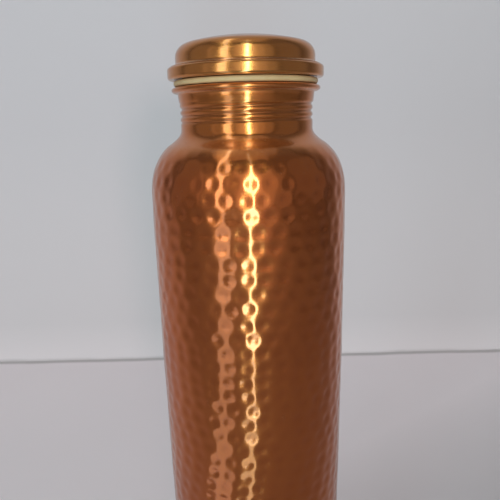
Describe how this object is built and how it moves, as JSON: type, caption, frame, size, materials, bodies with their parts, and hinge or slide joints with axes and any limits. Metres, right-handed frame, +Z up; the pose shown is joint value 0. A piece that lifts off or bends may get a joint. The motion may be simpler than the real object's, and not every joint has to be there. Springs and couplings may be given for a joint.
{
  "type": "water bottle",
  "caption": "Tall round hammered copper water bottle with rounded shoulders, a short neck with a rolled thread, and a domed screw lid closing on a soft sealing ring.",
  "frame": {"origin": "centre of the foot, on the surface the bottle stands on", "axes": "+Z up along the bottle's axis; +X and +Y are any two directions across it, since the bottle is round, with the front at -Y"},
  "size_m": [0.075, 0.075, 0.264],
  "materials": {
    "hammered_copper": "hammered and polished",
    "base_copper": "pressed, satin",
    "lid_copper": "spun and polished",
    "plug_copper": "rolled, satin",
    "silicone": "translucent matt"
  },
  "bodies": {
    "bottle": {"bottle_body": "hammered_copper", "base_disc": "base_copper"},
    "seal": {"sealing_ring": "silicone"},
    "lid": {"threaded_plug": "plug_copper", "lid_cover": "lid_copper"}
  },
  "joints": [
    {"name": "lid_rise", "type": "slide", "parent": "bottle", "child": "seal", "axis": [0, 0, 1], "range_m": [0, 0.0163]},
    {"name": "lid_turn", "type": "hinge", "parent": "seal", "child": "lid", "pos_m": [0, 0, 0.25], "axis": [0, 0, 1], "range_deg": [0, 2340]}
  ],
  "couplings": [
    {"joint": "lid_rise", "follows": "lid_turn", "m_per_rad": 0.00039789}
  ]
}
